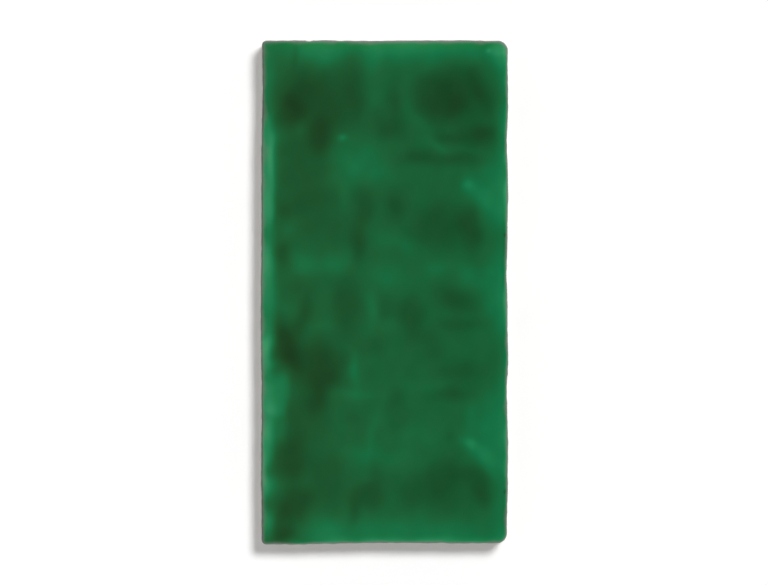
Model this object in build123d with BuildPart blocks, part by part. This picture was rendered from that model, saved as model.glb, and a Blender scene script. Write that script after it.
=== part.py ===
"""Handmade-look glazed wall tile in a brick format: one pressed and fired piece.

The tile lies on its back. X runs across its width, Y along its length and Z up through its thickness,
with the origin in the middle of the back. All sizes are in millimetres.
"""

import math
import os

from build123d import *

# The blank
WIDTH = 65.0
LENGTH = 132.3
THICKNESS = 8.0
SIDE_DRAFT = 1.5  # degrees that the sides lean in towards the back, so that the faces of two tiles meet first
TRIM_ALLOWANCE = 1.0  # how far the blank stands above the face before it is trimmed

# Rounded corners of the outline, as seen from the front
RADIUS_BOTTOM_LEFT = 0.9
RADIUS_BOTTOM_RIGHT = 1.6
RADIUS_TOP_RIGHT = 1.9
RADIUS_TOP_LEFT = 0.9

# The hand-cut look of the outline: how far each edge strays in from the straight line at even stations,
# as shares of the largest stray, going anticlockwise from the bottom left corner
EDGE_STRAY = 0.55
BOTTOM_STRAY = (0.00, 0.00, 0.30, 0.60, 0.80, 0.75, 0.65, 0.55, 0.60)
RIGHT_STRAY = (0.65, 0.45, 0.20, 0.15, 0.15, 0.60, 0.55, 0.00, 0.40, 0.30,
               0.80, 0.50, 0.30, 0.10, 0.10, 0.60, 0.45, 0.05, 0.30, 0.25)
TOP_STRAY = (0.20, 0.00, 0.00, 0.05, 0.20, 0.00, 0.00, 0.10)
LEFT_STRAY = (0.60, 0.85, 0.55, 0.35, 0.35, 0.35, 0.15, 0.00, 0.10, 0.40, 0.40, 0.15, 0.35, 0.45)

# The face: a cushion that falls away to the rim, a rounded arris, and shallow hollows
CUSHION_BAND = 4.0
CUSHION_DROP = 0.35
ARRIS_RADIUS = 0.7
HOLLOW_REACH = 7.0
HOLLOW_DEPTH = 0.40
FACE_PITCH = 2.5  # spacing of the stations that the face is drawn through
FACE_TOLERANCE = 0.01
# Each hollow: its centre as shares of the half width and half length, its reach across and along
# as shares of the hollow reach, and its depth as a share of the hollow depth
HOLLOWS = (
    (-0.70, 0.74, 1.0, 0.9, 0.90),
    (0.55, 0.77, 1.4, 1.0, 1.00),
    (-0.52, 0.60, 0.6, 0.8, 0.35),
    (0.75, 0.61, 0.9, 0.6, 0.50),
    (-0.04, 0.35, 1.1, 0.8, 0.40),
    (0.57, 0.27, 1.1, 0.9, 0.65),
    (-0.36, -0.03, 0.8, 1.1, 0.40),
    (0.45, -0.06, 1.1, 0.8, 0.50),
    (-0.70, -0.25, 1.0, 1.0, 0.90),
    (-0.55, -0.38, 0.6, 0.8, 0.45),
    (-0.76, -0.76, 0.8, 2.0, 0.75),
    (-0.15, -0.79, 1.0, 0.7, 0.50),
    (0.60, -0.76, 1.3, 0.9, 0.75),
)

# The keyed back: shallow slots along the tile that the adhesive fills
KEY_WIDTH = 4.0
KEY_LAND = 4.4
KEY_DEPTH = 0.7
KEY_TAPER = 30.0  # degrees that the walls of a slot lean in, so that the tile leaves its press
KEY_MARGIN = 7.0  # the least plain border round the slots
BACK_CHAMFER = 0.5


def outline_sides(inset):
    """The four edges of the outline, drawn in by the inset: each a list of points, and the way it runs."""
    half_width = WIDTH / 2 - inset
    half_length = LENGTH / 2 - inset
    square_corners = [Vector(x, y) for x, y in (
        (-half_width, -half_length), (half_width, -half_length), (half_width, half_length), (-half_width, half_length)
    )]
    along = [Vector(1, 0), Vector(0, 1), Vector(-1, 0), Vector(0, -1)]
    inward = [Vector(0, 1), Vector(-1, 0), Vector(0, -1), Vector(1, 0)]
    strays = [[EDGE_STRAY * share for share in shares]
              for shares in (BOTTOM_STRAY, RIGHT_STRAY, TOP_STRAY, LEFT_STRAY)]
    radii = [radius - inset
             for radius in (RADIUS_BOTTOM_LEFT, RADIUS_BOTTOM_RIGHT, RADIUS_TOP_RIGHT, RADIUS_TOP_LEFT)]
    corners = [square_corners[i] + inward[i] * strays[i][0] + inward[i - 1] * strays[i - 1][-1] for i in range(4)]

    sides = []
    for i in range(4):
        following = (i + 1) % 4
        start = corners[i] + along[i] * radii[i]
        end = corners[following] - along[i] * radii[following]
        step = along[i] * (end - start).dot(along[i]) / (len(strays[i]) - 1)
        points = [start + step * k + inward[i] * (stray - strays[i][0]) for k, stray in enumerate(strays[i])]
        sides.append((points, along[i]))
    return sides


def outline(inset):
    """The outline, drawn in by the inset: a wavering spline for each edge, and an arc at each corner."""
    sides = outline_sides(inset)
    with BuildSketch() as sketch:
        with BuildLine():
            for i, (points, direction) in enumerate(sides):
                following_points = sides[(i + 1) % 4][0]
                Spline(*points, tangents=(direction, direction))
                TangentArc(points[-1], following_points[0], tangent=direction)
        make_face()
    return sketch.sketch


def cushion(distance):
    """How far the face has fallen at this distance in from the rim: a parabola over the cushion's band."""
    return CUSHION_DROP * max(0.0, 1 - distance / CUSHION_BAND) ** 2


def face_height(x, y):
    """Height of the face above the back: the thickness less the cushion and the bell-shaped hollows."""
    fall = cushion(WIDTH / 2 - abs(x)) + cushion(LENGTH / 2 - abs(y))
    for share_x, share_y, reach_x, reach_y, depth in HOLLOWS:
        across = (x - share_x * WIDTH / 2) / (reach_x * HOLLOW_REACH)
        lengthways = (y - share_y * LENGTH / 2) / (reach_y * HOLLOW_REACH)
        fall += depth * HOLLOW_DEPTH * math.exp(-across**2 - lengthways**2)
    return THICKNESS - fall


def stations(size):
    """Evenly spaced stations that run one step past both ends of a size."""
    count = math.ceil(size / FACE_PITCH)
    step = size / count
    return [-size / 2 + step * k for k in range(-1, count + 2)]


os.makedirs("parts", exist_ok=True)

glazed_surface = Face.make_surface_from_array_of_points(
    [[(x, y, face_height(x, y)) for y in stations(LENGTH)] for x in stations(WIDTH)], tol=FACE_TOLERANCE
)
back_inset = THICKNESS * math.tan(math.radians(SIDE_DRAFT))
key_pitch = KEY_WIDTH + KEY_LAND
key_count = int((WIDTH - 2 * KEY_MARGIN + KEY_LAND) / key_pitch)

with BuildPart() as wall_tile:
    # The pressed blank, trimmed to its undulating face
    with BuildSketch(Plane.XY):
        add(outline(back_inset))
    with BuildSketch(Plane.XY.offset(THICKNESS + TRIM_ALLOWANCE)):
        add(outline(0))
    loft(ruled=True)
    split(bisect_by=glazed_surface, keep=Keep.BOTTOM)

    # The arris round the face, and the chamfer round the back
    fillet(wall_tile.faces().sort_by(Axis.Z)[-1].edges(), ARRIS_RADIUS)
    chamfer(wall_tile.faces().sort_by(Axis.Z)[0].edges(), BACK_CHAMFER)

    # The keys in the back
    with BuildSketch(Plane.XY):
        with GridLocations(key_pitch, 0, key_count, 1):
            SlotOverall(LENGTH - 2 * KEY_MARGIN, KEY_WIDTH, rotation=90)
    extrude(amount=KEY_DEPTH, taper=KEY_TAPER, mode=Mode.SUBTRACT)

wall_tile.part.label = "wall_tile"
export_step(wall_tile.part, "parts/wall_tile.step")
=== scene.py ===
"""Looks of a handmade-look wall tile: a run green glaze over a pressed clay body, on a white studio floor.

The frame is the part's own: X across the width, Y along the length, Z up through the thickness, and the
origin in the middle of the back. Sizes in the classes are in millimetres unless they say otherwise, and are
turned to metres as they are used.
"""

import logging
import math
from dataclasses import dataclass
from enum import Enum

import bpy
import numpy as np
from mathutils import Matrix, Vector

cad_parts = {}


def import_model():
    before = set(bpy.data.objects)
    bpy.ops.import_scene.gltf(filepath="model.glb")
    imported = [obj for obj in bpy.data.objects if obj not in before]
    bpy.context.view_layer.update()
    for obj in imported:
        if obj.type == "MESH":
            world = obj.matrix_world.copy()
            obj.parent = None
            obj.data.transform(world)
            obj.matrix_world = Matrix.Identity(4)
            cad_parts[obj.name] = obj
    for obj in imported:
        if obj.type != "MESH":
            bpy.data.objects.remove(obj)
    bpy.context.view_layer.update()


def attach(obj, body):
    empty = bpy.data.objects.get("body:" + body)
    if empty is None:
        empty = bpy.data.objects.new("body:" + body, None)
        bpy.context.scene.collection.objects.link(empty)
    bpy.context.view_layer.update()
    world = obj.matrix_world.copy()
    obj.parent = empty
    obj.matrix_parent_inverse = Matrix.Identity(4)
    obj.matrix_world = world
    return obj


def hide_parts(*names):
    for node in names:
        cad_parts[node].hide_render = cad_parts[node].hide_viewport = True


LOG = logging.getLogger("wall_tile")
MM = 0.001
CAD_NODE = "wall_tile"
BODY = "root"
WAVE_SPREAD = (0.7, 1.4)  # shortest and longest wave of a swell, as shares of its wavelength

# The edges of a loop, anticlockwise from the bottom: the signs of their first corners, and the ways along
# them and inwards
CORNERS = np.array([(-1, -1), (1, -1), (1, 1), (-1, 1)])
ALONG = np.array([(1, 0), (0, 1), (-1, 0), (0, -1)])
INWARD = np.array([(0, 1), (-1, 0), (0, -1), (1, 0)])


class Finish(Enum):
    """The finishes of the tile, in the order of its material slots."""

    GLAZE = 0
    CLAY = 1


class Chance(Enum):
    """What is left to chance, each with its seed."""

    DRIFT_X = 1
    DRIFT_Y = 2
    CLOUDS = 3
    RIPPLE = 4
    ARRIS = 5
    BARE_EDGE = 6
    GLAZE_LINE = 7
    DRIPS = 8
    LUMPS = 9


class Trait(Enum):
    """The values that the mesh carries from point to point for its finishes."""

    DEPTH = "glaze_depth"  # shares of the full depth
    RIM = "rim_distance"  # from the outline, in widths of the bare edge and its painted reflection
    WARMTH = "rim_warmth"  # share of the tint that the thin glaze takes along the rim


def linear(hex_colour: str) -> tuple[float, float, float, float]:
    """Turns an sRGB hex colour to linear light.

    Args:
        hex_colour: The colour as "#rrggbb".

    Returns:
        Red, green, blue and an alpha of 1.
    """
    shares = [int(hex_colour[i:i + 2], 16) / 255 for i in (1, 3, 5)]
    light = [s / 12.92 if s <= 0.04045 else ((s + 0.055) / 1.055) ** 2.4 for s in shares]
    return (*light, 1.0)


def add_node(
    tree: bpy.types.NodeTree, kind: str, inputs: dict | None = None, **settings: object
) -> bpy.types.Node:
    """Adds a node with its settings and links.

    Args:
        tree: The tree that the node joins.
        kind: Blender's name for the kind of node.
        inputs: Input names or numbers, each with a value or with the output socket that is linked to it.
        settings: Properties of the node.

    Returns:
        The node.
    """
    node = tree.nodes.new(kind)
    for name, value in settings.items():
        setattr(node, name, value)
    for name, value in (inputs or {}).items():
        if isinstance(value, bpy.types.NodeSocket):
            tree.links.new(value, node.inputs[name])
        else:
            node.inputs[name].default_value = value
    return node


def placed(data: bpy.types.ID) -> bpy.types.Object:
    """Puts a mesh, light or camera in the scene.

    Args:
        data: What the object shows.

    Returns:
        The object, which has the same name.
    """
    item = bpy.data.objects.new(data.name, data)
    bpy.context.scene.collection.objects.link(item)
    return item


def new_material(name: str) -> tuple[bpy.types.Material, bpy.types.NodeTree]:
    """Makes an empty node material.

    Args:
        name: The material's name.

    Returns:
        The material and its node tree.
    """
    material = bpy.data.materials.new(name)
    material.use_nodes = True
    material.node_tree.nodes.clear()
    return material, material.node_tree


def fill_ramp(node: bpy.types.Node, stops: tuple[tuple[float, str], ...]) -> None:
    """Sets the stops of a colour ramp.

    Args:
        node: The colour ramp.
        stops: Places from 0 to 1 in rising order, each with its hex colour.
    """
    elements = node.color_ramp.elements
    while len(elements) < len(stops):
        elements.new(1.0)
    for element, (place, colour) in zip(elements, stops):
        element.position = place
        element.color = linear(colour)


def swell(points: np.ndarray, wavelength: float, chance: Chance, waves: int = 14) -> np.ndarray:
    """A smooth uneven field: the sum of plane waves with scattered directions, lengths and phases.

    Args:
        points: Places in mm, with two or three coordinates along the last axis.
        wavelength: The middle wavelength in mm.
        chance: Which of the fields.
        waves: How many waves are summed.

    Returns:
        The field at each place, about 0 with a spread of about 1.
    """
    rng = np.random.default_rng(chance.value)
    directions = rng.normal(size=(points.shape[-1], waves))
    directions /= np.linalg.norm(directions, axis=0)
    numbers = 2 * math.pi / (wavelength * rng.uniform(*WAVE_SPREAD, waves))
    phases = rng.uniform(0, 2 * math.pi, waves)
    return np.sin(points @ (directions * numbers) + phases).sum(-1) * math.sqrt(2 / waves)


def smooth_step(value: np.ndarray, low: float, high: float) -> np.ndarray:
    """Rises from 0 at low to 1 at high, with level ends."""
    share = np.clip((value - low) / (high - low), 0, 1)
    return share * share * (3 - 2 * share)


def crowded(steps: int, crowding: float = 0.5) -> np.ndarray:
    """Shares from 0 to 1 whose steps shorten towards both ends: t - crowding sin(2 pi t) / (2 pi)."""
    t = np.linspace(0, 1, steps + 1)
    return t - crowding * np.sin(2 * math.pi * t) / (2 * math.pi)


def waver(stations: tuple[float, ...], segments: int) -> np.ndarray:
    """A cubic spline through evenly spaced values, level at both ends.

    The slopes m of the spline solve m[k-1] + 4 m[k] + m[k+1] = 3 (y[k+1] - y[k-1]) at the inner stations.

    Args:
        stations: The values at the stations.
        segments: How many crowded steps the spline is read at.

    Returns:
        The values at the ends of the steps, one more than there are steps.
    """
    values = np.array(stations)
    count = len(values)
    system = np.eye(count)
    right = np.zeros(count)
    inner = np.arange(1, count - 1)
    system[inner, inner - 1] = 1
    system[inner, inner] = 4
    system[inner, inner + 1] = 1
    right[inner] = 3 * (values[2:] - values[:-2])
    slopes = np.linalg.solve(system, right)
    place = crowded(segments) * (count - 1)
    k = np.minimum(place.astype(int), count - 2)
    t = place - k
    return (
        values[k] * (1 + 2 * t) * (1 - t) ** 2
        + slopes[k] * t * (1 - t) ** 2
        + values[k + 1] * t * t * (3 - 2 * t)
        - slopes[k + 1] * t * t * (1 - t)
    )


def rounded_loop(
    corners: np.ndarray, radii: tuple[float, ...], strays: list[np.ndarray], arc_steps: tuple[int, ...]
) -> np.ndarray:
    """A closed loop round four corners, anticlockwise from the middle of the first corner's arc.

    Each edge is the second half of its first corner's arc, a run, and the first half of its last corner's.

    Args:
        corners: The square corners, anticlockwise from the bottom left, of shape (4, 2).
        radii: The radius of each corner.
        strays: For each edge, how far its run strays inwards, from its first point to its last.
        arc_steps: For each edge, how many steps it has on the half arc at each of its ends.

    Returns:
        The loop's points, of shape (n, 2).
    """

    def arc(corner: int, first: float, last: float, steps: int) -> np.ndarray:
        """Part of a corner's quarter arc.

        Args:
            corner: Which corner.
            first: The share of the arc's turn that the part starts at.
            last: The share that it ends at.
            steps: How many steps it has.

        Returns:
            The part's points, of shape (steps + 1, 2).
        """
        turn = np.linspace(first, last, steps + 1)[:, None] * math.pi / 2
        centre = corners[corner] + radii[corner] * (ALONG[corner] - ALONG[corner - 1])
        return centre + radii[corner] * (ALONG[corner - 1] * np.sin(turn) - ALONG[corner] * np.cos(turn))

    edges = []
    for i in range(4):
        following = (i + 1) % 4
        leaving = arc(i, 0.5, 1.0, arc_steps[i])
        arriving = arc(following, 0.0, 0.5, arc_steps[i])
        share = crowded(len(strays[i]) - 1)[:, None]
        inward = INWARD[i] * (strays[i] - strays[i][0])[:, None]
        length = (arriving[0] - leaving[-1]) @ ALONG[i]
        run = leaving[-1] + ALONG[i] * length * share + inward
        edges += [leaving[:-1], run[:-1], arriving[:-1]]
    return np.concatenate(edges)


def outward(loop: np.ndarray) -> np.ndarray:
    """Unit normals of a loop: its chords from neighbour to neighbour, turned right.

    Args:
        loop: The loop's points, anticlockwise, of shape (n, 2).

    Returns:
        The normals, of the same shape.
    """
    chord = np.roll(loop, -1, axis=0) - np.roll(loop, 1, axis=0)
    normal = np.stack([chord[:, 1], -chord[:, 0]], axis=1)
    return normal / np.linalg.norm(normal, axis=1, keepdims=True)


def filled(loop: np.ndarray, across: int) -> np.ndarray:
    """Fills a loop with a Coons grid: the blends of its opposite edges, less that of its corners.

    Args:
        loop: The loop's points in the order that rounded_loop gives, of shape (n, 2).
        across: How many steps the loop has along its first edge, and so along its third.

    Returns:
        The grid's points, of shape (across + 1, along + 1, 2).
    """
    up = len(loop) // 2 - across
    ring = np.concatenate([loop, loop[:1]])
    bottom, right = ring[:across + 1], ring[across:across + up + 1]
    top, left = ring[across + up:2 * across + up + 1][::-1], ring[2 * across + up:][::-1]
    u = (bottom[:, 0] - bottom[0, 0]) / (bottom[-1, 0] - bottom[0, 0])
    v = (left[:, 1] - left[0, 1]) / (left[-1, 1] - left[0, 1])
    u, v = u[:, None, None], v[None, :, None]
    edges = (1 - v) * bottom[:, None] + v * top[:, None] + (1 - u) * left[None] + u * right[None]
    corners = (1 - u) * ((1 - v) * bottom[0] + v * top[0]) + u * ((1 - v) * bottom[-1] + v * top[-1])
    return edges - corners


def bridged(loop: np.ndarray, first: int) -> np.ndarray:
    """Fills a long loop with one row of quads, from its one side straight across to the other.

    Args:
        loop: The loop's points, anticlockwise, of shape (n, 2).
        first: Which point is in the middle of its lower end.

    Returns:
        The two sides from the lower end up, of shape (2, n / 2, 2), the right one first.
    """
    half = len(loop) // 2
    turned = np.roll(loop, -first, axis=0)
    return np.stack([turned[:half], turned[half:][::-1]])


def raised(plan: np.ndarray, height: np.ndarray | float) -> np.ndarray:
    """Adds heights to plan points, as their third coordinate."""
    return np.concatenate([plan, np.broadcast_to(height, plan.shape[:-1])[..., None]], axis=-1)


class Skin:
    """A closed mesh put together from grids of points, with their finishes and traits."""

    def __init__(self) -> None:
        """Starts with no grids."""
        self.points: list[np.ndarray] = []
        self.quads: list[np.ndarray] = []
        self.finishes: list[np.ndarray] = []
        self.traits: dict[Trait, list[np.ndarray]] = {trait: [] for trait in Trait}
        self.count = 0

    def add(
        self,
        grid: np.ndarray,
        finish: Finish,
        closed: bool = False,
        traits: dict[Trait, np.ndarray] | None = None,
    ) -> None:
        """Adds a grid, whose outer side is that of its first axis crossed with its second.

        Args:
            grid: Points in mm, of shape (m, n, 3).
            finish: What the grid is finished in.
            closed: Whether the second axis closes on itself.
            traits: Values at the grid's points, 0 where none are given.
        """
        rows, columns = grid.shape[:2]
        index = self.count + np.arange(rows * columns).reshape(rows, columns)
        if closed:
            index = np.concatenate([index, index[:, :1]], axis=1)
        quads = np.stack([index[:-1, :-1], index[1:, :-1], index[1:, 1:], index[:-1, 1:]], axis=-1)
        quads = quads.reshape(-1, 4)
        self.points.append(grid.reshape(-1, 3))
        self.quads.append(quads)
        self.finishes.append(np.full(len(quads), finish.value))
        for trait in Trait:
            values = (traits or {}).get(trait, 0.0)
            self.traits[trait].append(np.broadcast_to(values, (rows, columns)).ravel())
        self.count += rows * columns

    def mesh(self, name: str, weld: float = 1e-5, crease: float = 40.0) -> bpy.types.Mesh:
        """Welds the grids where their points meet, and makes the mesh in metres.

        Args:
            name: The mesh's name.
            weld: Points that round to the same multiple of this, in mm, are one point.
            crease: Edges that turn by more than this many degrees stay sharp.

        Returns:
            The mesh, shaded smooth between its sharp edges.
        """
        points = np.concatenate(self.points)
        keys = np.round(points / weld).astype(np.int64)
        _, first, index = np.unique(keys, axis=0, return_index=True, return_inverse=True)
        quads = index.ravel()[np.concatenate(self.quads)]
        mesh = bpy.data.meshes.new(name)
        mesh.vertices.add(len(first))
        mesh.vertices.foreach_set("co", (points[first] * MM).astype(np.float32).ravel())
        mesh.loops.add(quads.size)
        mesh.loops.foreach_set("vertex_index", quads.ravel().astype(np.int32))
        mesh.polygons.add(len(quads))
        mesh.polygons.foreach_set("loop_start", np.arange(0, quads.size, 4, dtype=np.int32))
        mesh.polygons.foreach_set("material_index", np.concatenate(self.finishes).astype(np.int32))
        for trait in Trait:
            layer = mesh.attributes.new(trait.value, "FLOAT", "POINT")
            layer.data.foreach_set("value", np.concatenate(self.traits[trait])[first].astype(np.float32))
        mesh.update(calc_edges=True)
        mesh.validate()
        mesh.shade_smooth()
        mesh.set_sharp_from_angle(angle=math.radians(crease))
        return mesh


@dataclass(frozen=True)
class Pool:
    """A place where the glaze ran thick, or thin where its depth is negative.

    Its shape is a bell: depth times exp(-r^edge), where r^corner is the sum of the distances from its middle
    across and along, in reaches, each to the power of corner. An edge of 2 is a soft bell, and a larger one
    has a flatter middle and a firmer rim. A corner of 2 is an ellipse, and a larger one is squarer.
    """

    x: float
    y: float
    reach_x: float
    reach_y: float
    depth: float
    lean: float = 0.0  # degrees anticlockwise
    edge: float = 2.0
    corner: float = 2.0

    def over(self, x: np.ndarray, y: np.ndarray) -> np.ndarray:
        """Its depth at places.

        Args:
            x: How far they are across the tile, in mm.
            y: How far they are along it.

        Returns:
            The depth at each place.
        """
        cosine, sine = math.cos(math.radians(self.lean)), math.sin(math.radians(self.lean))
        across = ((x - self.x) * cosine + (y - self.y) * sine) / self.reach_x
        along = ((y - self.y) * cosine - (x - self.x) * sine) / self.reach_y
        spread = np.abs(across) ** self.corner + np.abs(along) ** self.corner
        return self.depth * np.exp(-(spread ** (self.edge / self.corner)))


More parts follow.
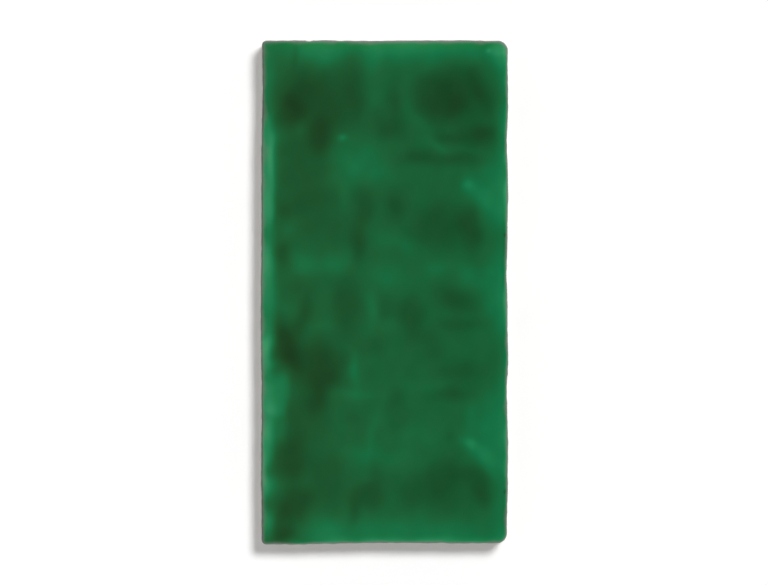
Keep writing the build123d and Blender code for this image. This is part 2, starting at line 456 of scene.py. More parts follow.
@dataclass(frozen=True)
class GlazeFlow:
    """How the glaze ran over the face before it set, as shares of its full depth."""

    base: float = 0.50
    drift: float = 0.22  # mm that the shapes of the pools waver by
    drift_length: float = 9.0
    clouds: float = 0.010
    cloud_length: float = 6.0
    pools: tuple[Pool, ...] = (
        # Upper left: a broad pool with its darkest place near the edge, and a drip below it
        Pool(-18.0, 51.0, 9.5, 7.6, 0.24, 0, 3.0),
        Pool(-24.8, 48.0, 3.9, 4.3, 0.29, 0, 2.5),
        Pool(-22.0, 54.0, 4.4, 4.0, 0.09),
        Pool(-13.2, 43.8, 3.6, 5.2, 0.12),
        Pool(-17.0, 40.8, 3.3, 5.2, 0.25, 0, 2.5),
        Pool(-8.6, 57.5, 2.4, 7.0, 0.16),
        Pool(-7.5, 49.0, 2.6, 5.0, 0.14),
        Pool(-22.0, 32.8, 7.5, 12.2, 0.14, 0, 4.0),
        Pool(-21.8, 42.8, 1.8, 2.0, -0.08),
        Pool(-10.7, 40.4, 1.2, 0.9, -0.36),
        # Top margin
        Pool(4.0, 66.5, 40.0, 5.9, -0.37, 0, 2.5),
        Pool(-17.4, 63.2, 5.5, 3.6, -0.18, 0, 3.0),
        Pool(8.0, 65.0, 11.0, 2.6, -0.12),
        Pool(-23.6, 62.0, 0.9, 4.0, 0.12),
        Pool(-2.8, 62.0, 2.4, 5.0, -0.10, 0, 3.0),
        Pool(30.0, 63.4, 3.2, 1.9, -0.24, 8, 4.0),
        Pool(27.2, 63.2, 0.7, 0.6, -0.22),
        Pool(29.4, 60.8, 2.4, 2.0, -0.20),
        # Top middle
        Pool(-2.6, 51.5, 2.2, 5.5, -0.04),
        Pool(2.4, 50.2, 2.0, 4.6, 0.15),
        Pool(1.0, 43.2, 5.2, 3.8, 0.18),
        Pool(8.6, 45.6, 1.7, 5.5, -0.11, 38),
        # Upper right: the largest pool, with an arm down its right side and shelves below it
        Pool(15.7, 51.5, 8.4, 7.2, 0.33, 35, 3.5),
        Pool(20.8, 47.2, 4.8, 3.8, 0.13),
        Pool(25.0, 53.5, 2.8, 7.0, 0.19, 26),
        Pool(27.0, 50.0, 2.8, 4.6, 0.10),
        Pool(25.0, 41.5, 4.4, 2.7, 0.32, 0, 2.5),
        Pool(17.5, 40.6, 4.0, 1.7, 0.20),
        Pool(24.0, 38.4, 4.4, 1.5, 0.10),
        Pool(9.0, 35.7, 5.4, 2.3, 0.19),
        Pool(20.5, 34.8, 6.6, 1.8, 0.18),
        Pool(14.0, 38.2, 3.4, 1.0, -0.12, -25),
        # Upper middle and right, thin
        Pool(-6.5, 34.0, 8.0, 6.5, -0.17, 0, 2.5),
        Pool(-8.0, 32.5, 2.0, 2.6, -0.09, -30),
        Pool(-1.0, 31.4, 3.6, 3.2, -0.06),
        Pool(22.2, 28.2, 1.6, 1.5, -0.22),
        Pool(22.4, 29.0, 2.4, 4.0, -0.12),
        Pool(25.6, 24.4, 5.0, 2.6, -0.17, -42),
        Pool(29.4, 27.4, 5.0, 9.0, -0.26, 0, 3.0),
        # Middle right, and towards the centre
        Pool(14.5, 17.5, 5.8, 6.6, 0.20, 0, 3.0),
        Pool(22.3, 16.5, 3.2, 5.6, 0.26, 15, 2.5),
        Pool(8.0, 17.0, 3.4, 3.0, 0.08),
        Pool(3.0, 22.8, 2.9, 3.6, 0.23),
        Pool(-5.0, 23.0, 2.5, 5.4, 0.18, 0, 2.5),
        Pool(-7.0, 12.8, 2.1, 4.2, 0.24),
        Pool(3.0, 13.0, 6.5, 2.2, -0.11, -18),
        Pool(13.2, 6.4, 3.4, 2.3, -0.15),
        Pool(22.0, 4.2, 4.6, 2.6, -0.18, -34),
        Pool(0.5, 4.2, 4.6, 3.4, -0.16),
        Pool(8.5, 3.0, 4.0, 3.0, -0.04),
        Pool(29.8, 0.0, 4.4, 10.5, -0.23, 0, 3.0),
        Pool(27.0, 6.1, 2.4, 1.5, -0.07),
        Pool(30.8, 19.0, 2.4, 3.0, -0.08),
        # Middle left
        Pool(-15.0, 20.0, 9.8, 8.0, 0.10, 0, 4.0),
        Pool(-10.6, 24.0, 2.0, 4.2, -0.12),
        Pool(-26.6, 21.5, 2.2, 2.4, 0.16),
        Pool(-25.2, 16.2, 3.4, 1.7, -0.06, 40),
        Pool(-26.5, 10.5, 2.5, 3.2, 0.23),
        Pool(-20.7, 7.6, 4.2, 2.7, -0.20, -14, 2.5),
        Pool(-12.6, 7.8, 3.8, 3.0, -0.17, 0, 2.5),
        Pool(-23.5, 1.2, 4.4, 3.0, 0.09),
        Pool(-26.0, -4.0, 3.4, 1.6, -0.06),
        Pool(-20.6, -4.5, 1.8, 4.8, 0.20, -18),
        Pool(-22.5, -9.6, 3.2, 2.8, 0.12),
        Pool(-10.0, -2.9, 4.0, 6.5, 0.19, 0, 3.0),
        Pool(-9.6, -11.0, 2.6, 3.0, 0.08),
        Pool(-3.3, -4.5, 1.6, 5.0, -0.14, 0, 2.5),
        Pool(-16.8, -9.0, 3.2, 1.6, -0.08),
        # Middle
        Pool(0.4, -3.8, 2.4, 3.4, 0.08, 0, 3.0),
        Pool(7.0, -6.2, 3.6, 4.8, 0.20, 12, 2.5),
        Pool(18.6, -1.8, 5.2, 3.3, 0.22, -22, 2.5),
        Pool(20.0, -8.4, 6.0, 1.7, 0.15),
        Pool(1.4, -9.0, 4.6, 1.8, -0.06),
        # Lower left: two pools that run together and drip, and thin streaks beside them
        Pool(-25.8, -14.4, 3.2, 6.8, 0.42, 14, 2.5),
        Pool(-17.5, -18.9, 6.9, 6.4, 0.30, 0, 3.5),
        Pool(-13.4, -23.0, 3.0, 3.4, 0.10),
        Pool(-17.5, -27.0, 3.1, 4.2, 0.24),
        Pool(-7.9, -20.4, 1.4, 5.0, -0.22, 8),
        Pool(-7.4, -26.8, 5.4, 1.6, -0.14),
        Pool(-3.5, -14.0, 3.6, 3.0, 0.09),
        Pool(-21.0, -32.4, 7.2, 7.0, 0.15, 0, 3.0),
        Pool(-8.4, -33.0, 2.4, 2.0, 0.09),
        Pool(-3.1, -37.0, 1.5, 6.4, -0.12, -14),
        Pool(-12.4, -33.0, 2.0, 3.6, -0.04),
        # Lower middle and right
        Pool(10.2, -11.8, 4.8, 2.2, 0.11),
        Pool(12.8, -16.0, 4.2, 2.4, 0.09),
        Pool(20.5, -20.8, 6.0, 2.6, 0.16),
        Pool(18.0, -26.6, 4.6, 2.2, 0.17),
        Pool(10.0, -24.6, 5.6, 1.7, -0.08),
        Pool(3.4, -30.5, 3.0, 6.0, 0.07, 0, 3.5),
        Pool(10.0, -37.2, 7.4, 4.0, -0.09),
        Pool(17.4, -37.4, 2.8, 2.4, 0.09),
        Pool(22.0, -39.8, 1.7, 1.9, -0.25),
        Pool(22.6, -34.0, 1.9, 5.4, -0.16),
        Pool(25.0, -42.0, 5.6, 2.0, -0.26, -40),
        Pool(28.8, -36.2, 4.8, 10.6, -0.24, 0, 3.5),
        # Bottom left
        Pool(-24.6, -43.5, 4.1, 6.5, 0.29, -8, 3.0),
        Pool(-23.2, -55.4, 4.7, 4.8, 0.27, -20, 3.5),
        Pool(-26.6, -61.0, 2.6, 5.4, 0.22, 0, 3.0),
        Pool(-26.2, -64.2, 4.0, 2.4, 0.20),
        Pool(-15.8, -48.0, 6.2, 7.6, 0.14, 0, 3.0),
        Pool(-13.0, -54.4, 3.4, 2.6, 0.06),
        # Bottom middle and right
        Pool(-4.6, -53.4, 4.4, 3.4, 0.21, 0, 3.0),
        Pool(-2.0, -48.8, 2.4, 3.6, 0.10),
        Pool(-7.9, -57.8, 1.5, 3.0, 0.15, -8),
        Pool(-6.4, -42.8, 4.8, 2.5, -0.15),
        Pool(3.5, -43.6, 6.0, 2.8, -0.11),
        Pool(14.8, -49.5, 4.6, 5.6, 0.21, 0, 2.5),
        Pool(20.6, -46.8, 3.6, 2.8, 0.15),
        Pool(22.0, -50.5, 4.0, 4.4, 0.05),
        Pool(25.4, -51.4, 2.6, 4.8, 0.22, 12, 2.5),
        Pool(7.2, -52.4, 4.6, 4.4, 0.14, 0, 2.5),
        Pool(18.0, -54.5, 8.0, 4.0, 0.07),
        Pool(4.0, -64.0, 26.0, 5.0, -0.25, 0, 3.0),
        Pool(-16.0, -62.0, 4.8, 3.6, -0.15, 0, 3.0),
        Pool(30.2, -58.6, 3.2, 9.0, -0.12),
        Pool(27.8, -47.4, 3.4, 1.4, -0.11, -50),
        # Rims, where the glaze drew thin: bottom, right and top
        Pool(12.0, -66.0, 22.0, 1.5, -0.45, 0, 2.0, 8.0),
        Pool(-14.5, -66.2, 9.5, 1.0, -0.40, 0, 2.0, 8.0),
        Pool(32.3, 0.0, 0.7, 70.0, -0.40, 0, 2.0, 8.0),
        Pool(0.0, 66.3, 36.0, 1.2, -0.12, 0, 2.0, 8.0),
        # Right margin, with two specks
        Pool(32.2, 0.0, 2.2, 75.0, -0.16),
        Pool(31.4, 43.0, 1.8, 7.0, -0.15),
        Pool(31.2, -22.8, 1.4, 2.8, -0.10),
        Pool(31.6, -46.5, 1.2, 3.0, -0.12),
        Pool(31.5, 60.0, 2.6, 8.0, -0.18),
        Pool(32.0, 8.0, 1.1, 17.0, 0.12, 0, 4.0),
        Pool(32.0, -57.0, 1.1, 6.5, 0.10, 0, 4.0),
        Pool(31.7, 15.1, 0.35, 0.35, 0.60),
        Pool(31.6, -52.2, 0.3, 0.45, 0.45),
        # Left margin, where the glaze drew thin in patches with firm rims
        Pool(-32.0, 54.6, 2.7, 10.8, -0.28, 0, 3.0),
        Pool(-32.0, 31.6, 3.2, 14.0, -0.56, 0, 6.0, 6.0),
        Pool(-28.9, 35.2, 1.4, 5.8, -0.35),
        Pool(-29.6, 45.4, 1.2, 2.0, -0.16),
        Pool(-32.0, 4.0, 3.2, 20.0, -0.30, 0, 4.0, 4.0),
        Pool(-31.9, 8.6, 2.9, 4.8, -0.38, 6, 3.0),
        Pool(-31.8, 0.2, 3.7, 5.2, -0.22, 0, 3.0),
        Pool(-32.0, -11.0, 3.0, 4.4, -0.24, 0, 3.0),
        Pool(-32.0, -16.8, 2.8, 5.0, -0.56, 0, 4.0, 4.0),
        Pool(-29.0, -18.2, 1.4, 1.5, -0.18),
        Pool(-30.0, -26.6, 5.1, 5.6, -0.36, 0, 7.0, 3.0),
        Pool(-30.4, -22.2, 2.2, 1.8, 0.16),
        Pool(-32.0, -30.0, 3.4, 8.0, -0.22, 0, 4.0),
        Pool(-32.0, -41.0, 3.0, 8.0, -0.52, 0, 4.0),
        Pool(-28.6, -34.8, 3.0, 5.2, -0.20, 0, 4.0, 4.0),
        Pool(-30.8, -50.6, 2.1, 3.0, -0.40, 0, 2.5),
        Pool(-32.0, -49.4, 1.5, 9.5, -0.25, 0, 3.0),
        Pool(-31.2, -60.6, 2.3, 4.0, -0.40, 0, 2.5),
    )

    def depth(self, plan: np.ndarray) -> np.ndarray:
        """Depth of the glaze: its base, soft clouds, and the pools with their places drifted by slow waves.

        Args:
            plan: Places in mm, with x and y along the last axis.

        Returns:
            The depth at each place.
        """
        x = plan[..., 0] + self.drift * swell(plan, self.drift_length, Chance.DRIFT_X)
        y = plan[..., 1] + self.drift * swell(plan, self.drift_length, Chance.DRIFT_Y)
        total = self.base + self.clouds * swell(plan, self.cloud_length, Chance.CLOUDS)
        for pool in self.pools:
            total = total + pool.over(x, y)
        return total


@dataclass(frozen=True)
class Relief:
    """The undulating face: the cushion, hollows and thickness of the part, and a fine ripple in the glaze."""

    width: float
    length: float
    thickness: float
    cushion_band: float = 4.0
    cushion_drop: float = 0.35
    hollow_reach: float = 7.0
    hollow_depth: float = 0.40
    ripple: float = 0.012
    ripple_length: float = 7.0
    hollows: tuple[tuple[float, float, float, float, float], ...] = (
        # Shares of half width and half length, reach across and along, and depth
        (-0.70, 0.74, 1.0, 0.9, 0.90),
        (0.55, 0.77, 1.4, 1.0, 1.00),
        (-0.52, 0.60, 0.6, 0.8, 0.35),
        (0.75, 0.61, 0.9, 0.6, 0.50),
        (-0.04, 0.35, 1.1, 0.8, 0.40),
        (0.57, 0.27, 1.1, 0.9, 0.65),
        (-0.36, -0.03, 0.8, 1.1, 0.40),
        (0.45, -0.06, 1.1, 0.8, 0.50),
        (-0.70, -0.25, 1.0, 1.0, 0.90),
        (-0.55, -0.38, 0.6, 0.8, 0.45),
        (-0.76, -0.76, 0.8, 2.0, 0.75),
        (-0.15, -0.79, 1.0, 0.7, 0.50),
        (0.60, -0.76, 1.3, 0.9, 0.75),
    )

    def cushion(self, distance: np.ndarray) -> np.ndarray:
        """How far the face has fallen at a distance in from an edge: a parabola over the cushion's band."""
        return self.cushion_drop * np.clip(1 - distance / self.cushion_band, 0, None) ** 2

    def slope(self, distance: float) -> float:
        """How steeply the cushion falls at a distance in from an edge."""
        return 2 * self.cushion_drop / self.cushion_band * (1 - distance / self.cushion_band)

    def height(self, plan: np.ndarray) -> np.ndarray:
        """Height of the face: the thickness less the cushion and the bell-shaped hollows, with the ripple.

        Args:
            plan: Places in mm, with x and y along the last axis.

        Returns:
            The height at each place.
        """
        x, y = plan[..., 0], plan[..., 1]
        fall = self.cushion(self.width / 2 - np.abs(x)) + self.cushion(self.length / 2 - np.abs(y))
        for share_x, share_y, reach_x, reach_y, depth in self.hollows:
            across = (x - share_x * self.width / 2) / (reach_x * self.hollow_reach)
            along = (y - share_y * self.length / 2) / (reach_y * self.hollow_reach)
            fall = fall + depth * self.hollow_depth * np.exp(-across**2 - along**2)
        return self.thickness - fall + self.ripple * (swell(plan, self.ripple_length, Chance.RIPPLE) - 1)


@dataclass(frozen=True)
class RunGlaze:
    """Transparent copper-green glaze, fired on clay: glass over a pale slip, darker where it pooled."""

    name: str = "run_copper_glaze"
    tones: tuple[tuple[float, str], ...] = (  # depth and colour, from thin to deep
        (-0.25, "#369663"),
        (-0.10, "#278a5a"),
        (0.10, "#167c4b"),
        (0.25, "#0c7142"),
        (0.45, "#126236"),
        (0.65, "#10532b"),
        (0.85, "#104420"),
        (1.00, "#0d3818"),
    )
    bare_and_reflection_tone: str = "#767873"  # where it drew off the arris and the body shows through, and painted reflection of the floor and panel on the arris
    rim_tint: str = "#ffffe2"  # what it takes from the body where it is thin along a rim
    bare_fall: float = 2.5  # how firmly the bare edge ends
    bare_mottle: float = 0.45
    iron_blush_and_sheen: str = "#0e0000"  # iron from the body, which warms the glaze in slow clouds, with a painted sheen that is strongest at the left
    blush_size: float = 4.0  # mm across
    blush_draw: float = 2.0  # how many times longer they are the way the glaze ran
    blush_span: tuple[float, float] = (0.2, 0.8)  # of the noise, from no iron to all
    painted_sheen_lean: float = 0.009  # painted sheen from the panel at the left: how much the clouds fade with each mm towards the right
    roughness: float = 0.07
    bare_roughness: float = 0.35
    ior: float = 1.52
    mottle: float = 0.03
    mottle_size: float = 1.6  # mm, the clots of colour
    peel_size: float = 1.1  # mm, drawn coarser than the real skin so that it shows
    peel_height: float = 0.0012

    def material(self) -> bpy.types.Material:
        """Builds the material: its depth picks the tone, iron clouds with a painted sheen towards the left
        warm it, and towards the rim it thins to the bare edge, which also carries painted reflection.

        The share of the bare edge is exp(-d^fall), where d is how far the place is out of it.

        Returns:
            The material.
        """
        material, tree = new_material(self.name)
        place = add_node(tree, "ShaderNodeTexCoord").outputs["Object"]
        pooled, from_rim, warmth = (
            add_node(tree, "ShaderNodeAttribute", attribute_name=trait.value).outputs["Fac"]
            for trait in (Trait.DEPTH, Trait.RIM, Trait.WARMTH)
        )
        mottling = add_node(tree, "ShaderNodeTexNoise", {
            "Vector": place, "Scale": 1 / (self.mottle_size * MM), "Detail": 3.0, "Roughness": 0.55,
        }).outputs["Fac"]
        clots = add_node(tree, "ShaderNodeMath", {0: mottling, 1: 0.5}, operation="SUBTRACT").outputs[0]
        depth = add_node(
            tree, "ShaderNodeMath", {0: clots, 1: self.mottle, 2: pooled}, operation="MULTIPLY_ADD"
        ).outputs[0]
        thin, deep = self.tones[0][0], self.tones[-1][0]
        share = add_node(tree, "ShaderNodeMapRange", {
            "Value": depth, "From Min": thin, "From Max": deep,
        }).outputs["Result"]
        ramp = add_node(tree, "ShaderNodeValToRGB", {"Fac": share})
        fill_ramp(ramp, tuple(((stop - thin) / (deep - thin), tone) for stop, tone in self.tones))

        drawn = add_node(
            tree, "ShaderNodeVectorMath", {0: place, 1: (1, 1 / self.blush_draw, 1)}, operation="MULTIPLY"
        ).outputs[0]
        clouds = add_node(tree, "ShaderNodeTexNoise", {
            "Vector": drawn, "Scale": 1 / (self.blush_size * MM), "Detail": 2.0,
        }).outputs["Fac"]
        across = add_node(tree, "ShaderNodeSeparateXYZ", {0: place}).outputs["X"]
        # Painted sheen: the warm clouds grow stronger towards the left, standing in for the panel's soft
        # reflection there
        clouds_and_sheen = add_node(
            tree, "ShaderNodeMath", {0: across, 1: -self.painted_sheen_lean / MM, 2: clouds}, operation="MULTIPLY_ADD"
        ).outputs[0]
        none, full = self.blush_span
        iron_and_sheen = add_node(tree, "ShaderNodeMapRange", {
            "Value": clouds_and_sheen, "From Min": none, "From Max": full,
        }).outputs["Result"]
        with_iron_and_sheen = add_node(tree, "ShaderNodeMix", {
            0: iron_and_sheen, 6: ramp.outputs["Color"], 7: linear(self.iron_blush_and_sheen),
        }, data_type="RGBA", blend_type="ADD").outputs[2]
        tinted = add_node(tree, "ShaderNodeMix", {
            0: warmth, 6: with_iron_and_sheen, 7: linear(self.rim_tint),
        }, data_type="RGBA", blend_type="MULTIPLY").outputs[2]

        # Bare edge with painted reflection: grey where the glaze drew off the arris, and where the arris
        # would mirror the white floor and the panel
        uneven = add_node(
            tree, "ShaderNodeMath", {0: clots, 1: self.bare_mottle, 2: from_rim}, operation="MULTIPLY_ADD"
        ).outputs[0]
        clear = add_node(tree, "ShaderNodeMath", {0: uneven, 1: 0.0}, operation="MAXIMUM").outputs[0]
        steep = add_node(tree, "ShaderNodeMath", {0: clear, 1: self.bare_fall}, operation="POWER").outputs[0]
        bare = add_node(tree, "ShaderNodeMath", {0: math.exp(-1), 1: steep}, operation="POWER").outputs[0]
        colour = add_node(tree, "ShaderNodeMix", {
            0: bare, 6: tinted, 7: linear(self.bare_and_reflection_tone),
        }, data_type="RGBA").outputs[2]
        roughness = add_node(tree, "ShaderNodeMapRange", {
            "Value": bare, "To Min": self.roughness, "To Max": self.bare_roughness,
        }).outputs["Result"]
        skin = add_node(tree, "ShaderNodeTexNoise", {
            "Vector": place, "Scale": 1 / (self.peel_size * MM), "Detail": 2.0,
        }).outputs["Fac"]
        peel = add_node(tree, "ShaderNodeBump", {
            "Height": skin, "Distance": self.peel_height * MM, "Strength": 1.0,
        }).outputs["Normal"]
        shader = add_node(tree, "ShaderNodeBsdfPrincipled", {
            "Base Color": colour, "Roughness": roughness, "Normal": peel, "IOR": self.ior,
        })
        add_node(tree, "ShaderNodeOutputMaterial", {"Surface": shader.outputs["BSDF"]})
        return material


@dataclass(frozen=True)
class PressedClay:
    """Buff earthenware, pressed dry and fired: matt and porous, with pale grog in it."""

    name: str = "pressed_earthenware"
    pale: str = "#c9beb0"
    dark: str = "#b3a797"
    grog: str = "#e2dbd0"
    roughness: float = 0.92
    cloud_size: float = 9.0
    cloud_span: tuple[float, float] = (0.3, 0.7)  # of the noise, from dark to pale
    grog_size: float = 1.1
    grog_span: tuple[float, float] = (0.22, 0.12)  # shares of that size, from a speck's rim to its middle
    grog_share: float = 0.7
    grain_size: float = 0.45
    grain_height: float = 0.035

    def material(self) -> bpy.types.Material:
        """Builds the material: slow clouds of two clay tones, pale grog in them and a grainy skin.

        Returns:
            The material.
        """
        material, tree = new_material(self.name)
        place = add_node(tree, "ShaderNodeTexCoord").outputs["Object"]
        clouds = add_node(tree, "ShaderNodeTexNoise", {
            "Vector": place, "Scale": 1 / (self.cloud_size * MM), "Detail": 6.0, "Roughness": 0.65,
        }).outputs["Fac"]
        ramp = add_node(tree, "ShaderNodeValToRGB", {"Fac": clouds})
        fill_ramp(ramp, tuple(zip(self.cloud_span, (self.dark, self.pale))))
        cells = add_node(tree, "ShaderNodeTexVoronoi", {
            "Vector": place, "Scale": 1 / (self.grog_size * MM),
        }).outputs["Distance"]
        rim, middle = self.grog_span
        specks = add_node(tree, "ShaderNodeMapRange", {
            "Value": cells, "From Min": rim, "From Max": middle, "To Max": self.grog_share,
        }).outputs["Result"]
        colour = add_node(tree, "ShaderNodeMix", {
            0: specks, 6: ramp.outputs["Color"], 7: linear(self.grog),
        }, data_type="RGBA").outputs[2]
        grain = add_node(tree, "ShaderNodeTexNoise", {
            "Vector": place, "Scale": 1 / (self.grain_size * MM), "Detail": 5.0, "Roughness": 0.6,
        }).outputs["Fac"]
        bump = add_node(tree, "ShaderNodeBump", {
            "Height": grain, "Distance": self.grain_height * MM, "Strength": 1.0,
        }).outputs["Normal"]
        shader = add_node(tree, "ShaderNodeBsdfPrincipled", {
            "Base Color": colour, "Roughness": self.roughness, "Normal": bump,
        })
        add_node(tree, "ShaderNodeOutputMaterial", {"Surface": shader.outputs["BSDF"]})
        return material


@dataclass(frozen=True)
class Keys:
    """The slots in the back that the adhesive fills: rounded at their ends, with walls that lean in."""

    width: float = 4.0
    land: float = 4.4
    depth: float = 0.7
    taper: float = 30.0  # degrees
    margin: float = 7.0
    end_border: float = 2.2  # plain clay past the end of a slot, in its own cell
    wall_steps: int = 2

    @property
    def pitch(self) -> float:
        """From one slot to the next."""
        return self.width + self.land

    def count(self, tile_width: float) -> int:
        """How many slots fit on a tile of this width."""
        return int((tile_width - 2 * self.margin + self.land) / self.pitch)


@dataclass
class GlazedTile:
    """The tile: its wavering outline, cushioned face, rounded arris, part-glazed sides and keyed back."""

    width: float = 65.0
    length: float = 132.3
    thickness: float = 8.0
    side_draft: float = 1.5  # degrees
    radii: tuple[float, ...] = (1.3, 2.7, 2.6, 1.2)  # as on the real tile, rounder than the part's
    edge_stray: float = 0.55
    bottom_stray: tuple[float, ...] = (0.00, 0.00, 0.30, 0.60, 0.80, 0.75, 0.65, 0.55, 0.60)
    right_stray: tuple[float, ...] = (
        0.65, 0.45, 0.20, 0.15, 0.15, 0.60, 0.55, 0.00, 0.40, 0.30,
        0.80, 0.50, 0.30, 0.10, 0.10, 0.60, 0.45, 0.05, 0.30, 0.25,
    )
    top_stray: tuple[float, ...] = (0.20, 0.00, 0.00, 0.05, 0.20, 0.00, 0.00, 0.10)
    left_stray: tuple[float, ...] = (
        0.60, 0.85, 0.55, 0.35, 0.35, 0.35, 0.15, 0.00, 0.10, 0.40, 0.40, 0.15, 0.35, 0.45,
    )
    lump: float = 0.030  # how far the cut edges stray finely
    lump_length: float = 2.8
    chip_place: float = -19.8  # along the top edge
    chip_reach: float = 0.65
    chip_edge: float = 4.0  # how firmly its ends break off
    chip_depth: float = 0.42
    chip_foot: float = 5.0  # height that the chip dies out at
    arris_radius: float = 0.7
    arris_unevenness: float = 0.12
    arris_length: float = 11.0  # of the waves that it is uneven by
    arris_steps: int = 9
    # Where the glaze drew off the arris, with painted reflection of the floor and the panel that differs from
    # side to side with how light falls there, each at the bottom, right, top and left
    bare_and_reflection_widths: tuple[float, ...] = (0.46, 0.51, 0.70, 0.92)
    bare_and_reflection_shares: tuple[float, ...] = (0.85, 0.76, 0.86, 0.50)  # how bare it left them, and how much painted reflection they take
    bare_unevenness: float = 0.16
    bare_length: float = 6.0  # of the waves that they are uneven by
    painted_rim_shade: tuple[float, ...] = (-0.5, 0.0, 0.0, 0.75)  # painted shade: how much deeper, so darker, the glaze is set on the steep part; darkest at the left, which faces away from the key, and thinner, so lighter, at the bottom
    rim_shade_turn: tuple[float, float] = (0.2, 0.6)  # radians of the arris over which the painted rim shade comes in
    rim_warmth: tuple[float, ...] = (0.2, 0.0, 1.0, 0.0)  # how much of the rim's tint each side has
    warm_place: float = 1.5  # how far in from the rim the tint is strongest
    warm_reach: float = 0.6
    wall_fade: float = 2.0  # how much sooner the glaze is whole again below the rim
    rim_reach: float = 3.0  # how far in the distance from the rim is worked out
    back_chamfer: float = 0.5
    glaze_line: float = 5.0  # mean height that the glaze ran down to on the sides
    glaze_runs: float = 0.5  # how far that height strays
    run_length: float = 26.0  # of the waves that it strays by
    drip_count: int = 34
    drip_widths: tuple[float, float] = (0.7, 1.5)  # least and greatest half width of a drip
    drip_length: float = 2.2  # how far the longest runs below that line
    drip_edge: float = 2.5  # how firmly its sides fall
    glaze_limits: tuple[float, float] = (1.2, 6.2)
    glaze_lip: float = 0.12  # how far the glaze stands proud of the clay
    lip_start: float = 0.72  # share of the way down that it starts to round off at
    side_depth: float = 0.85  # where it gathered above that line
    gather_end: float = 0.9  # share of the way down that it is that deep at
    glazed_steps: int = 8
    glazed_crowding: float = 0.8  # the power that shortens those steps towards the lip
    clay_steps: int = 4
    steps_per_key: int = 24
    steps_along: int = 288
    arc_steps: int = 6
    keys: Keys = Keys()
    flow: GlazeFlow = GlazeFlow()
    glaze: RunGlaze = RunGlaze()
    clay: PressedClay = PressedClay()

    def __post_init__(self) -> None:
        """Works out the outline that every other shape follows."""
        self.relief = Relief(self.width, self.length, self.thickness)
        self.slots = self.keys.count(self.width)
        self.steps_across = self.slots * self.steps_per_key
        self.outline = self.wavering_outline()
        self.normals = outward(self.outline)
        self.skin = Skin()

    def wavering_outline(self) -> np.ndarray:
        """The hand-cut outline: a rounded rectangle whose edges stray in along splines.

        Returns:
            The loop's points in mm, of shape (n, 2).
        """
        stations = (self.bottom_stray, self.right_stray, self.top_stray, self.left_stray)
        steps = (self.steps_across, self.steps_along, self.steps_across, self.steps_along)
        strays = [self.edge_stray * waver(s, n - 2 * self.arc_steps) for s, n in zip(stations, steps)]
        square = CORNERS * (self.width / 2, self.length / 2)
        corners = np.array([
            square[i] + INWARD[i] * strays[i][0] + INWARD[i - 1] * strays[i - 1][-1] for i in range(4)
        ])
        return rounded_loop(corners, self.radii, strays, (self.arc_steps,) * 4)

    def inset(self, distance: np.ndarray) -> np.ndarray:
        """The outline drawn in by a distance for each of its points."""
        return self.outline - self.normals * distance[:, None]

    def rings(self, distance: np.ndarray, height: np.ndarray, lumpy: np.ndarray | float = 1.0) -> np.ndarray:
        """Loops round the tile: the outline drawn in by a distance, by lumps and by the chip.

        Args:
            distance: How far each loop's points are drawn in, of shape (m, n).
            height: Their heights, of the same shape.
            lumpy: The share of the lumps, for each loop or for all.

        Returns:
            The loops' points, of shape (m, n, 3).
        """
        places = raised(np.broadcast_to(self.outline, (*height.shape, 2)), height)
        lumps = self.lump * swell(places, self.lump_length, Chance.LUMPS)
        drawn_in = distance + lumpy * (lumps + self.chipped(height))
        return raised(self.outline - self.normals * drawn_in[..., None], height)

    def chipped(self, height: np.ndarray) -> np.ndarray:
        """How deep the chip in the top edge cuts: a bell along the edge that dies out down the side.

        Args:
            height: Heights of loops round the tile, of shape (m, n).

        Returns:
            The depth in mm, of the same shape.
        """
        along = np.abs(self.outline[:, 0] - self.chip_place) / self.chip_reach
        bell = np.where(self.outline[:, 1] > 0, np.exp(-(along**self.chip_edge)), 0.0)
        return self.chip_depth * bell * smooth_step(height, self.chip_foot, self.thickness)

    def build_face(self) -> None:
        """The face and its arris: a grid inside the rim, and a quarter circle carried along the outline."""
        start = math.atan(self.relief.slope(self.arris_radius))
        uneven = self.arris_unevenness * swell(self.outline, self.arris_length, Chance.ARRIS)
        radius = self.arris_radius * (1 + uneven)
        rim = self.inset(radius * (1 - math.sin(start)))
        face = filled(rim, self.steps_across)
        distance = self.from_rim(face)
        self.skin.add(raised(face, self.relief.height(face)), Finish.GLAZE, traits={
            Trait.DEPTH: self.flow.depth(face),
            Trait.RIM: self.thickening(face, distance),
            Trait.WARMTH: self.warmth(face, distance),
        })

        turn = np.linspace(start, math.pi / 2, self.arris_steps + 1)[:, None]
        rim_height = self.relief.height(rim)
        drawn_in = radius * (1 - np.sin(turn))
        self.wall_top = rim_height - radius * math.cos(start)
        lumpy = smooth_step(turn, start, math.pi / 2)
        arris = self.rings(drawn_in, self.wall_top + radius * np.cos(turn), lumpy)
        # Painted shade on the steep of the arris, darkest on the left side
        rim_shade_depth = self.rim_shade_depth() * smooth_step(turn, *self.rim_shade_turn)
        self.skin.add(arris, Finish.GLAZE, closed=True, traits={
            Trait.DEPTH: self.flow.depth(arris[..., :2]) + rim_shade_depth,
            Trait.RIM: self.thickening(self.outline, drawn_in),
            Trait.WARMTH: self.warmth(self.outline, drawn_in),
        })

    def by_side(self, values: tuple[float, ...], plan: np.ndarray) -> np.ndarray:
        """Values that belong to the four sides, at places near them: the nearest side counts most.

        Args:
            values: The values at the bottom, right, top and left.
            plan: Places in mm, with x and y along the last axis.

        Returns:
            The value at each place.
        """
        x, y = plan[..., 0], plan[..., 1]
        half_width, half_length = self.width / 2, self.length / 2
        gaps = np.stack([half_length + y, half_width - x, half_length - y, half_width + x])
        weights = np.exp(-gaps)
        return np.tensordot(values, weights, 1) / weights.sum(axis=0)

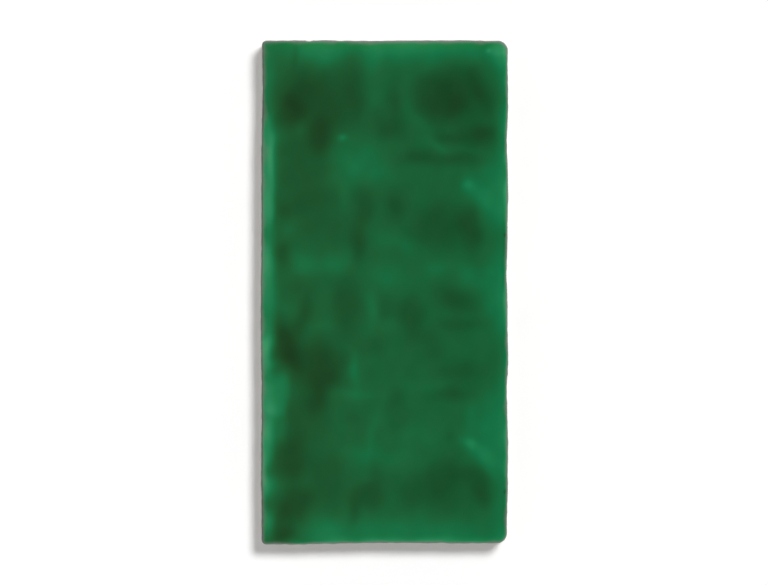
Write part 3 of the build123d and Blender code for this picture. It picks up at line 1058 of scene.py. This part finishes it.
    def thickening(self, plan: np.ndarray, distance: np.ndarray) -> np.ndarray:
        """How far places are out of the bare edge and its painted reflection: the glaze counts their share as
        exp(-d^fall) of this.

        Args:
            plan: Places in mm, with x and y along the last axis.
            distance: Their distance from the outline in mm.

        Returns:
            The distance in widths of the bare edge, set off where the edge isn't wholly bare.
        """
        uneven = self.bare_unevenness * swell(plan, self.bare_length, Chance.BARE_EDGE)
        width = self.by_side(self.bare_and_reflection_widths, plan) * np.exp(uneven)
        offset = -np.log(self.by_side(self.bare_and_reflection_shares, plan))
        fall = self.glaze.bare_fall
        return ((distance / width) ** fall + offset) ** (1 / fall)

    def warmth(self, plan: np.ndarray, distance: np.ndarray) -> np.ndarray:
        """How much of the rim's tint the glaze has: each side's share of a bell in a band along the rim."""
        across = (distance - self.warm_place) / self.warm_reach
        return self.by_side(self.rim_warmth, plan) * np.exp(-(across**2))

    def rim_shade_depth(self) -> np.ndarray:
        """Painted shade: how much deeper the glaze is set on the steep of the arris, along the outline,
        darkest on the left.
        """
        return self.by_side(self.painted_rim_shade, self.outline)

    def from_rim(self, plan: np.ndarray) -> np.ndarray:
        """Distance of places on the face from the nearest point of the outline.

        Args:
            plan: Places in mm, with x and y along the last axis.

        Returns:
            The distance in mm, or the rim's reach where it is further.
        """
        inside = np.minimum(self.width / 2 - np.abs(plan[..., 0]), self.length / 2 - np.abs(plan[..., 1]))
        near = inside < self.rim_reach + self.edge_stray
        gaps = plan[near][:, None] - self.outline
        distance = np.full(plan.shape[:-1], self.rim_reach)
        distance[near] = np.minimum(np.hypot(gaps[..., 0], gaps[..., 1]).min(axis=1), self.rim_reach)
        return distance

    def wall_inset(self, height: np.ndarray) -> np.ndarray:
        """How far the draft has drawn the side in at a height."""
        return (self.wall_top - height) * math.tan(math.radians(self.side_draft))

    def drips(self) -> np.ndarray:
        """How far drips of glaze run below its line: round tongues, most of them short.

        Returns:
            The length of the drips at each point of the outline, in mm.
        """
        steps = np.diff(self.outline, axis=0, append=self.outline[:1])
        along = np.cumsum(np.hypot(steps[:, 0], steps[:, 1]))
        rng = np.random.default_rng(Chance.DRIPS.value)
        places = rng.uniform(0, along[-1], self.drip_count)
        widths = rng.uniform(*self.drip_widths, self.drip_count)
        lengths = self.drip_length * rng.uniform(0, 1, self.drip_count) ** 2
        gaps = np.abs(along[:, None] - places)
        gaps = np.minimum(gaps, along[-1] - gaps)
        return (lengths * np.exp(-(gaps / widths) ** self.drip_edge)).max(axis=1)

    def build_sides(self) -> None:
        """The sides: glaze that ran down to an uneven line and ends in a lip, bare clay, and a chamfer."""
        line = self.glaze_line + self.glaze_runs * swell(self.outline, self.run_length, Chance.GLAZE_LINE)
        line = np.clip(line - self.drips(), *self.glaze_limits)
        share = np.linspace(0, 1, self.glazed_steps + 1)[:, None] ** self.glazed_crowding
        height = self.wall_top + (line - self.wall_top) * share
        lip = self.glaze_lip * (1 - np.sqrt(1 - smooth_step(share, self.lip_start, 1.0) ** 2))
        # The rim's depth carries the painted shade of the arris down onto the sides
        rim_depth = self.flow.depth(self.outline) + self.rim_shade_depth()
        walls = self.rings(self.wall_inset(height) + lip, height)
        self.skin.add(walls, Finish.GLAZE, closed=True, traits={
            Trait.DEPTH: rim_depth + (self.side_depth - rim_depth) * smooth_step(share, 0.0, self.gather_end),
            Trait.RIM: self.thickening(self.outline, self.wall_fade * (self.wall_top - height)),
        })

        share = np.linspace(0, 1, self.clay_steps + 1)[:, None]
        height = line + (self.back_chamfer - line) * share
        clay = self.rings(self.wall_inset(height) + self.glaze_lip, height)
        self.skin.add(clay, Finish.CLAY, closed=True)

        ground = np.zeros_like(self.wall_top)
        self.foot = self.inset(self.wall_inset(ground) + self.glaze_lip + self.back_chamfer)
        self.skin.add(np.stack([clay[-1], raised(self.foot, 0.0)]), Finish.CLAY, closed=True)

    def build_back(self) -> None:
        """The back: a flat border round a row of cells, each with its land and its slot."""
        half_cell = self.keys.pitch / 2
        half_slot = self.length / 2 - self.keys.margin
        half_row = half_slot + self.keys.end_border
        row = self.cell_loop(0.0, half_cell * self.slots, half_row, self.steps_across)
        self.skin.add(np.stack([raised(self.foot, 0.0), raised(row, 0.0)]), Finish.CLAY, closed=True)

        drawn_in = self.keys.depth * math.tan(math.radians(self.keys.taper))
        share = np.linspace(0, 1, self.keys.wall_steps + 1)
        for i in range(self.slots):
            centre = (i - (self.slots - 1) / 2) * self.keys.pitch
            cell = self.cell_loop(centre, half_cell, half_row, self.steps_per_key)
            rings = [self.slot_loop(centre, half_slot, self.keys.width / 2 - drawn_in * s) for s in share]
            self.skin.add(np.stack([raised(cell, 0.0), raised(rings[0], 0.0)]), Finish.CLAY, closed=True)
            walls = np.stack([raised(ring, self.keys.depth * s) for ring, s in zip(rings, share)])
            self.skin.add(walls, Finish.CLAY, closed=True)
            self.skin.add(raised(bridged(rings[-1], self.steps_per_key // 2), self.keys.depth), Finish.CLAY)

    def cell_loop(self, centre: float, half_across: float, half_along: float, steps: int) -> np.ndarray:
        """A square-cornered loop, with its steps counted and crowded as the outline's are.

        Args:
            centre: X of its middle.
            half_across: Half its width.
            half_along: Half its length.
            steps: Its steps along each short edge.

        Returns:
            The loop's points, of shape (n, 2).
        """
        corners = CORNERS * (half_across, half_along) + (centre, 0)
        runs = [np.zeros(n + 1) for n in (steps, self.steps_along) * 2]
        return rounded_loop(corners, (0.0,) * 4, runs, (0,) * 4)

    def slot_loop(self, centre: float, half_slot: float, radius: float) -> np.ndarray:
        """A slot's loop at one depth, whose ends are half circles.

        Args:
            centre: X of the slot's middle.
            half_slot: Half the slot's length at its mouth.
            radius: Half its width at this depth.

        Returns:
            The loop's points, of shape (n, 2).
        """
        half_along = half_slot - self.keys.width / 2 + radius
        corners = CORNERS * (radius, half_along) + (centre, 0)
        end_arc = self.steps_per_key // 2
        runs = [np.zeros(n + 1) for n in (0, self.steps_along - 2 * self.arc_steps) * 2]
        return rounded_loop(corners, (radius,) * 4, runs, (end_arc, self.arc_steps) * 2)

    def build(self) -> bpy.types.Object:
        """Builds the tile, dresses it and lets it stand for the part's node.

        Returns:
            The tile's object.
        """
        self.build_face()
        self.build_sides()
        self.build_back()
        tile = placed(self.skin.mesh("glazed_tile"))
        for finish in (self.glaze, self.clay):
            tile.data.materials.append(finish.material())
        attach(tile, BODY)
        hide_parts(CAD_NODE)
        return tile


@dataclass
class Studio:
    """A white floor under soft light from the upper right, with a panel at the left, seen from above."""

    floor_size: float = 20.0  # metres
    floor_gap: float = 0.05  # mm below the tile
    floor_tone: float = 0.88
    floor_glow: float = 0.16
    key_direction: tuple[float, float, float] = (0.38, 0.44, 1.0)
    key_strength: float = 2.55
    key_angle: float = 18.0  # degrees
    panel_place: tuple[float, float, float] = (-0.62, 0.0, 1.0)  # metres
    panel_size: tuple[float, float] = (1.6, 0.42)  # metres, along Y and across
    panel_power: float = 1.05
    zenith: float = 0.10
    horizon: float = 0.90
    dim_above: float = 0.75  # sine of the elevation from which the room is as dim as overhead
    picture_width: int = 768
    scale: float = 3.814  # pixels to a millimetre on the face
    camera_height: float = 2.0  # metres above the face
    camera_shift: tuple[float, float] = (-0.12, 0.0)  # mm from above the tile's middle
    sensor: float = 36.0
    sight: float = 100.0  # metres, past which the camera shows nothing

    def build_floor(self) -> None:
        """A plain floor that keeps the tile's shadow and shows as white to the camera."""
        corners = raised(CORNERS * self.floor_size / 2, -self.floor_gap * MM)
        mesh = bpy.data.meshes.new("floor")
        mesh.from_pydata(corners.tolist(), [], [range(4)])

        material, tree = new_material("white_floor")
        path = add_node(tree, "ShaderNodeLightPath").outputs
        seen = path["Is Camera Ray"]
        for ray in ("Is Glossy Ray", "Is Transmission Ray"):
            seen = add_node(tree, "ShaderNodeMath", {0: seen, 1: path[ray]}, operation="MAXIMUM").outputs[0]
        glowing = {0: seen, 1: self.floor_glow}
        strength = add_node(tree, "ShaderNodeMath", glowing, operation="MULTIPLY").outputs[0]
        paint = add_node(tree, "ShaderNodeBsdfDiffuse", {"Color": (self.floor_tone,) * 3 + (1.0,)})
        glow = add_node(tree, "ShaderNodeEmission", {"Strength": strength})
        both = add_node(tree, "ShaderNodeAddShader", {0: paint.outputs[0], 1: glow.outputs[0]})
        add_node(tree, "ShaderNodeOutputMaterial", {"Surface": both.outputs[0]})
        mesh.materials.append(material)
        placed(mesh)

    def hang(self, light: bpy.types.Light, direction: tuple[float, float, float]) -> bpy.types.Object:
        """Puts a light in the scene.

        Args:
            light: The light.
            direction: Where it shines from.

        Returns:
            The light's object.
        """
        lamp = placed(light)
        lamp.rotation_euler = Vector(direction).to_track_quat("Z", "Y").to_euler()
        return lamp

    def build_lights(self) -> None:
        """The key from the upper right, the panel at the left, and a room pale low down and dim overhead."""
        key = bpy.data.lights.new("key", "SUN")
        key.energy = self.key_strength
        key.angle = math.radians(self.key_angle)
        self.hang(key, self.key_direction).visible_glossy = False

        panel = bpy.data.lights.new("panel", "AREA")
        panel.shape = "RECTANGLE"
        panel.size, panel.size_y = self.panel_size
        panel.energy = self.panel_power
        lamp = self.hang(panel, self.panel_place)
        lamp.location = self.panel_place
        lamp.visible_camera = False

        world = bpy.data.worlds.new("room")
        world.use_nodes = True
        tree = world.node_tree
        tree.nodes.clear()
        direction = add_node(tree, "ShaderNodeTexCoord").outputs["Generated"]
        rise = add_node(tree, "ShaderNodeSeparateXYZ", {0: direction}).outputs["Z"]
        level = add_node(tree, "ShaderNodeMapRange", {
            "Value": rise, "From Max": self.dim_above, "To Min": self.horizon, "To Max": self.zenith,
        }, interpolation_type="SMOOTHSTEP").outputs["Result"]
        light = add_node(tree, "ShaderNodeBackground", {"Color": linear("#ffffff"), "Strength": level})
        add_node(tree, "ShaderNodeOutputWorld", {"Surface": light.outputs[0]})
        bpy.context.scene.world = world

    def build_camera(self, face_height: float) -> None:
        """A long lens straight above the tile, with the part's Y up the picture.

        Args:
            face_height: Height of the tile's face, in mm.
        """
        camera = bpy.data.cameras.new("camera")
        camera.sensor_width = self.sensor
        camera.lens = self.sensor * self.camera_height / (self.picture_width / self.scale * MM)
        camera.clip_end = self.sight
        seat = placed(camera)
        shift_x, shift_y = self.camera_shift
        seat.location = (shift_x * MM, shift_y * MM, self.camera_height + face_height * MM)
        bpy.context.scene.camera = seat

    def build(self, face_height: float) -> None:
        """Builds the floor, the lights and the camera.

        Args:
            face_height: Height of the tile's face, in mm.
        """
        self.build_floor()
        self.build_lights()
        self.build_camera(face_height)
        bpy.context.scene.view_settings.view_transform = "Standard"


def main() -> None:
    """Loads the frame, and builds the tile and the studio."""
    logging.basicConfig(level=logging.INFO, format="%(name)s: %(message)s")
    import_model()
    tile = GlazedTile()
    piece = tile.build()
    LOG.info("%s: %d faces", piece.name, len(piece.data.polygons))
    Studio().build(tile.thickness)
    LOG.info("studio: floor, lights and camera")


if __name__ == "__main__":
    main()
